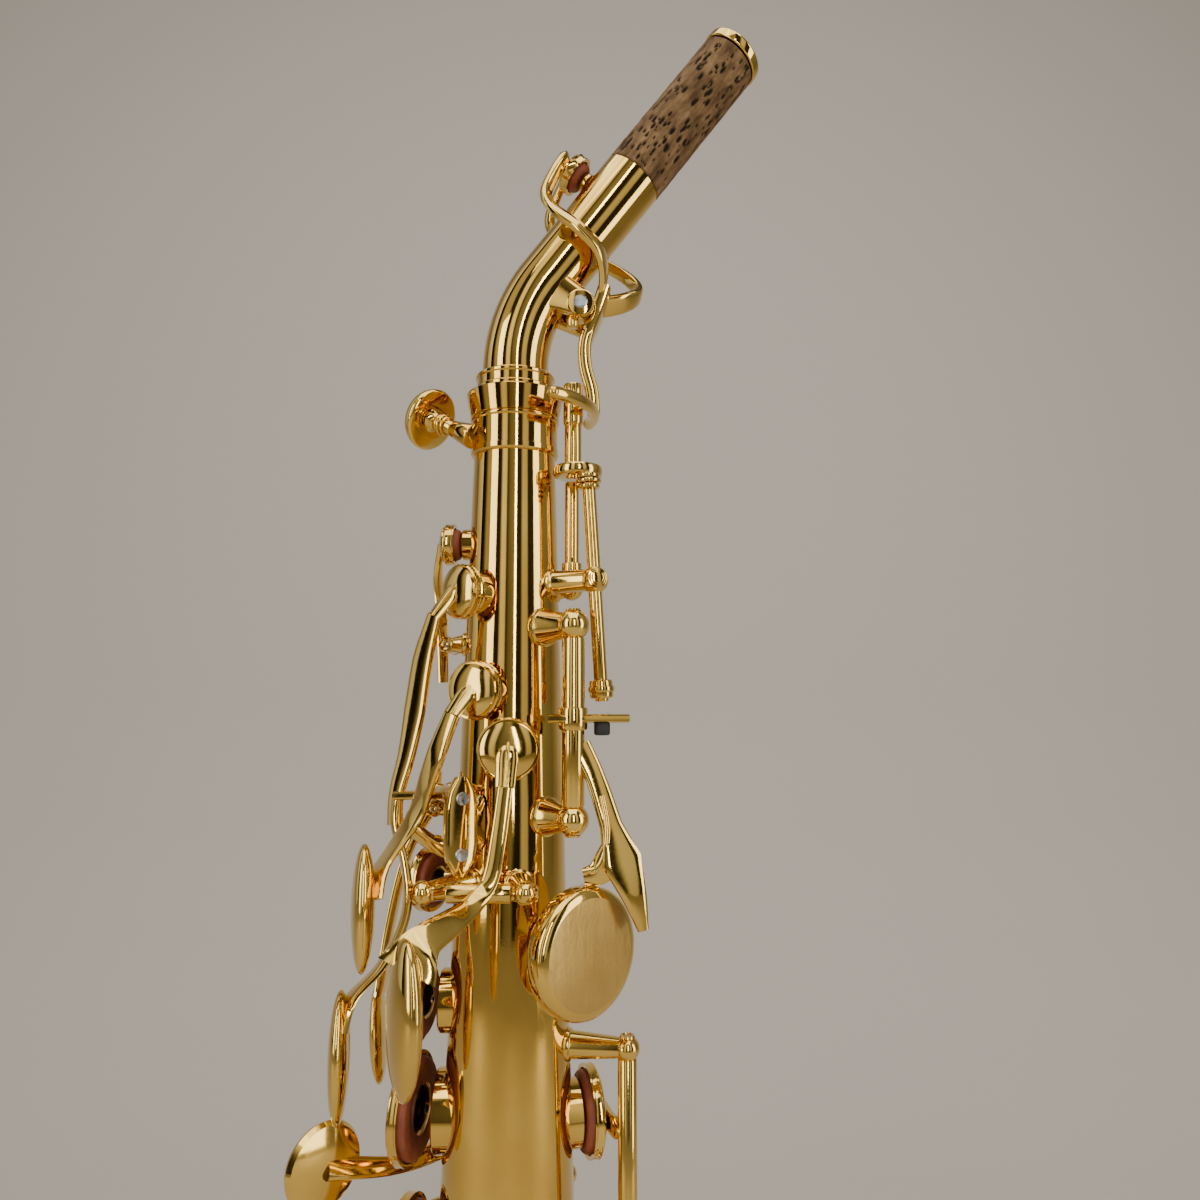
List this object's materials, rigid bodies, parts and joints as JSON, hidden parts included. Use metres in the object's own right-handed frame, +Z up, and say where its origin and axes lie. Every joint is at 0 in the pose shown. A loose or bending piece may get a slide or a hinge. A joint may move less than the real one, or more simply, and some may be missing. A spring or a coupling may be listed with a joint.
{
  "type": "soprano saxophone",
  "caption": "Conical brass woodwind with a curved neck, sprung keys with leather pads, an octave mechanism and a flared bell",
  "frame": {"origin": "middle of the outline's footprint, at the height of the bell's rim, on which the instrument stands upright", "axes": "+Z up along the body tube from the bell to the neck; +X towards the player, the way the neck bends; -Y the player's left side"},
  "size_m": [0.1014, 0.093, 0.6455],
  "materials": {
    "lacquered_brass": "clear gold lacquer, polished",
    "satin_brass": "clear gold lacquer over a brushed face",
    "pad_leather": "smooth red-brown kid leather",
    "cork": "sanded natural cork with dark pits"
  },
  "bodies": {
    "instrument": {"body_tube": "lacquered_brass", "bell": "lacquered_brass", "bell_joint_ring": "lacquered_brass", "neck_receiver": "lacquered_brass", "palm_post_plate": "lacquered_brass", "thumb_rest": "satin_brass", "thumb_hook": "satin_brass", "strap_ring": "lacquered_brass", "low_b_guard": "lacquered_brass", "low_b_flat_guard": "lacquered_brass"},
    "neck": {"neck_tube": "lacquered_brass", "neck_cork": "cork", "neck_tip_ring": "lacquered_brass"},
    "a": {"a_key": "lacquered_brass", "a_pad": "pad_leather"},
    "b": {"b_key": "lacquered_brass", "b_pad": "pad_leather"},
    "bis": {"bis_key": "lacquered_brass", "bis_pad": "pad_leather"},
    "body_octave": {"body_octave_key": "lacquered_brass", "body_octave_pad": "pad_leather"},
    "c": {"c_key": "lacquered_brass", "c_pad": "pad_leather"},
    "d": {"d_key": "lacquered_brass", "d_pad": "pad_leather"},
    "e": {"e_key": "lacquered_brass", "e_pad": "pad_leather"},
    "f": {"f_key": "lacquered_brass", "f_pad": "pad_leather"},
    "f_sharp": {"f_sharp_key": "lacquered_brass", "f_sharp_pad": "pad_leather"},
    "front_f": {"front_f_key": "lacquered_brass"},
    "g": {"g_key": "lacquered_brass", "g_pad": "pad_leather"},
    "g_sharp": {"g_sharp_key": "lacquered_brass", "g_sharp_pad": "pad_leather"},
    "high_e": {"high_e_key": "lacquered_brass"},
    "high_f_sharp": {"high_f_sharp_key": "lacquered_brass"},
    "low_b_flat": {"low_b_flat_key": "lacquered_brass"},
    "low_b": {"low_b_key": "lacquered_brass"},
    "low_c": {"low_c_key": "lacquered_brass"},
    "low_c_sharp": {"low_c_sharp_key": "lacquered_brass"},
    "low_e_flat": {"low_e_flat_key": "lacquered_brass"},
    "neck_octave": {"neck_octave_key": "lacquered_brass", "neck_octave_pad": "pad_leather"},
    "neck_screw": {"neck_screw": "lacquered_brass"},
    "octave_link_rod": {"octave_link_rod": "lacquered_brass"},
    "octave_swing_rod": {"octave_swing_rod": "lacquered_brass"},
    "octave_thumb_lever": {"octave_thumb_lever": "lacquered_brass"},
    "palm_d": {"palm_d_key": "lacquered_brass", "palm_d_pad": "pad_leather"},
    "palm_e_flat": {"palm_e_flat_key": "lacquered_brass", "palm_e_flat_pad": "pad_leather"},
    "palm_f": {"palm_f_key": "lacquered_brass", "palm_f_pad": "pad_leather"},
    "side_b_flat": {"side_b_flat_key": "lacquered_brass", "side_b_flat_pad": "pad_leather"},
    "side_c": {"side_c_key": "lacquered_brass", "side_c_pad": "pad_leather"}
  },
  "joints": [
    {"name": "neck_swivel", "type": "hinge", "parent": "instrument", "child": "neck", "pos_m": [-0.0042, 0, 0.5604], "axis": [0, 0, 1], "range_deg": [-12, 12]},
    {"name": "a_hinge", "type": "hinge", "parent": "instrument", "child": "a", "pos_m": [-0.01661, 0.01478, 0.3654], "axis": [0, 0, 1], "range_deg": [0, 10.45], "stiffness_Nm_per_rad": 0.2, "springref_deg": -6.88},
    {"name": "b_hinge", "type": "hinge", "parent": "instrument", "child": "b", "pos_m": [-0.01661, 0.01478, 0.396], "axis": [0, 0, 1], "range_deg": [0, 10.45], "stiffness_Nm_per_rad": 0.2, "springref_deg": -6.88},
    {"name": "bis_hinge", "type": "hinge", "parent": "instrument", "child": "bis", "pos_m": [-0.01661, 0.01478, 0.4124], "axis": [0, 0, 1], "range_deg": [0, 9.68], "stiffness_Nm_per_rad": 0.2, "springref_deg": -6.88},
    {"name": "body_octave_hinge", "type": "hinge", "parent": "instrument", "child": "body_octave", "pos_m": [-0.0182, 0.005, 0.506], "axis": [0, -1, 0], "range_deg": [0, 5], "stiffness_Nm_per_rad": 0.2, "springref_deg": -6.88},
    {"name": "c_hinge", "type": "hinge", "parent": "instrument", "child": "c", "pos_m": [-0.01661, 0.01478, 0.4372], "axis": [0, 0, 1], "range_deg": [0, 11.72]},
    {"name": "d_hinge", "type": "hinge", "parent": "instrument", "child": "d", "pos_m": [-0.01745, -0.0212, 0.1859], "axis": [0, 0, -1], "range_deg": [0, 7.44], "stiffness_Nm_per_rad": 0.2, "springref_deg": -6.88},
    {"name": "e_hinge", "type": "hinge", "parent": "instrument", "child": "e", "pos_m": [-0.01745, -0.0212, 0.2222], "axis": [0, 0, -1], "range_deg": [0, 7.44], "stiffness_Nm_per_rad": 0.2, "springref_deg": -6.88},
    {"name": "f_hinge", "type": "hinge", "parent": "instrument", "child": "f", "pos_m": [-0.01745, -0.0212, 0.2549], "axis": [0, 0, -1], "range_deg": [0, 7.44], "stiffness_Nm_per_rad": 0.2, "springref_deg": -6.88},
    {"name": "f_sharp_hinge", "type": "hinge", "parent": "instrument", "child": "f_sharp", "pos_m": [-0.01745, -0.0212, 0.2972], "axis": [0, 0, -1], "range_deg": [0, 7.17]},
    {"name": "front_f_hinge", "type": "hinge", "parent": "instrument", "child": "front_f", "pos_m": [-0.0198, 0.003, 0.472], "axis": [0, -1, 0], "range_deg": [0, 2.5], "stiffness_Nm_per_rad": 0.2, "springref_deg": -6.88},
    {"name": "g_hinge", "type": "hinge", "parent": "instrument", "child": "g", "pos_m": [-0.01661, 0.01478, 0.336], "axis": [0, 0, 1], "range_deg": [0, 10.45], "stiffness_Nm_per_rad": 0.2, "springref_deg": -6.88},
    {"name": "g_sharp_hinge", "type": "hinge", "parent": "instrument", "child": "g_sharp", "pos_m": [-0.00898, -0.0225, 0.3069], "axis": [0, 0, -1], "range_deg": [0, 10.76], "stiffness_Nm_per_rad": 0.2, "springref_deg": -6.88},
    {"name": "high_e_hinge", "type": "hinge", "parent": "instrument", "child": "high_e", "pos_m": [-0.00352, 0.01949, 0.365], "axis": [0, 0, 1], "range_deg": [0, 12.95], "stiffness_Nm_per_rad": 0.2, "springref_deg": -6.88},
    {"name": "high_f_sharp_hinge", "type": "hinge", "parent": "instrument", "child": "high_f_sharp", "pos_m": [-0.01111, 0.01898, 0.331], "axis": [0, 0, 1], "range_deg": [0, 13.29], "stiffness_Nm_per_rad": 0.2, "springref_deg": -6.88},
    {"name": "low_b_flat_hinge", "type": "hinge", "parent": "instrument", "child": "low_b_flat", "pos_m": [0.00118, -0.03053, 0.0569], "axis": [0, 0, -1], "range_deg": [0, 8.61], "stiffness_Nm_per_rad": 0.2, "springref_deg": -6.88},
    {"name": "low_b_hinge", "type": "hinge", "parent": "instrument", "child": "low_b", "pos_m": [0.0089, -0.0281, 0.0889], "axis": [0, 0, 1], "range_deg": [0, 9.78], "stiffness_Nm_per_rad": 0.2, "springref_deg": -6.88},
    {"name": "low_c_hinge", "type": "hinge", "parent": "instrument", "child": "low_c", "pos_m": [-0.03018, -0.015, 0.1489], "axis": [0, 0, -1], "range_deg": [0, 9.59], "stiffness_Nm_per_rad": 0.2, "springref_deg": -6.88},
    {"name": "low_c_sharp_hinge", "type": "hinge", "parent": "instrument", "child": "low_c_sharp", "pos_m": [-0.0069, -0.03088, 0.1249], "axis": [0, 0, 1], "range_deg": [0, 10.18], "stiffness_Nm_per_rad": 0.2, "springref_deg": -6.88},
    {"name": "low_e_flat_hinge", "type": "hinge", "parent": "instrument", "child": "low_e_flat", "pos_m": [-0.02434, 0.02086, 0.1529], "axis": [0, 0, 1], "range_deg": [0, 11.41], "stiffness_Nm_per_rad": 0.2, "springref_deg": -6.88},
    {"name": "neck_octave_hinge", "type": "hinge", "parent": "neck", "child": "neck_octave", "pos_m": [0.0102, 0, 0.5794], "axis": [0, -1, 0], "range_deg": [0, 3.6]},
    {"name": "neck_screw_hinge", "type": "hinge", "parent": "instrument", "child": "neck_screw", "pos_m": [-0.01705, -0.00387, 0.55208], "axis": [-0.7816, 0.4509, 0.4309], "range_deg": [-180, 180]},
    {"name": "octave_link_rod_hinge", "type": "hinge", "parent": "instrument", "child": "octave_link_rod", "pos_m": [0.0084, -0.0024, 0.5208], "axis": [0, 0, -1], "range_deg": [0, 8]},
    {"name": "octave_swing_rod_hinge", "type": "hinge", "parent": "instrument", "child": "octave_swing_rod", "pos_m": [0.0148, -0.0081, 0.494], "axis": [0.0609, -0.0042, -0.9981], "range_deg": [0, 15]},
    {"name": "octave_thumb_lever_hinge", "type": "hinge", "parent": "instrument", "child": "octave_thumb_lever", "pos_m": [0.0091, -0.013, 0.4711], "axis": [0, 0, 1], "range_deg": [0, 8], "stiffness_Nm_per_rad": 0.2, "springref_deg": -6.88},
    {"name": "palm_d_hinge", "type": "hinge", "parent": "instrument", "child": "palm_d", "pos_m": [-0.0144, -0.018, 0.4583], "axis": [1, 0, 0], "range_deg": [0, 6], "stiffness_Nm_per_rad": 0.2, "springref_deg": -6.88},
    {"name": "palm_e_flat_hinge", "type": "hinge", "parent": "instrument", "child": "palm_e_flat", "pos_m": [-0.0134, -0.01364, 0.4649], "axis": [0.5, -0.866, 0], "range_deg": [0, 6], "stiffness_Nm_per_rad": 0.2, "springref_deg": -6.88},
    {"name": "palm_f_hinge", "type": "hinge", "parent": "instrument", "child": "palm_f", "pos_m": [-0.0134, -0.01364, 0.4755], "axis": [0.5, -0.866, 0], "range_deg": [0, 5], "stiffness_Nm_per_rad": 0.2, "springref_deg": -6.88},
    {"name": "side_b_flat_hinge", "type": "hinge", "parent": "instrument", "child": "side_b_flat", "pos_m": [0.0068, 0.01905, 0.309], "axis": [0, 0, 1], "range_deg": [0, 12.78], "stiffness_Nm_per_rad": 0.2, "springref_deg": -6.88},
    {"name": "side_c_hinge", "type": "hinge", "parent": "instrument", "child": "side_c", "pos_m": [0.01983, -0.00424, 0.337], "axis": [0, 0, -1], "range_deg": [0, 14.45], "stiffness_Nm_per_rad": 0.2, "springref_deg": -6.88}
  ],
  "couplings": [
    {"joint": "octave_swing_rod_hinge", "follows": "octave_thumb_lever_hinge", "ratio": 1.8731},
    {"joint": "neck_octave_hinge", "follows": "octave_thumb_lever_hinge", "ratio": 0.4496},
    {"joint": "octave_link_rod_hinge", "follows": "octave_thumb_lever_hinge", "ratio": 0.999},
    {"joint": "c_hinge", "follows": "b_hinge", "ratio": 1.1205},
    {"joint": "f_sharp_hinge", "follows": "f_hinge", "ratio": 0.9627}
  ]
}
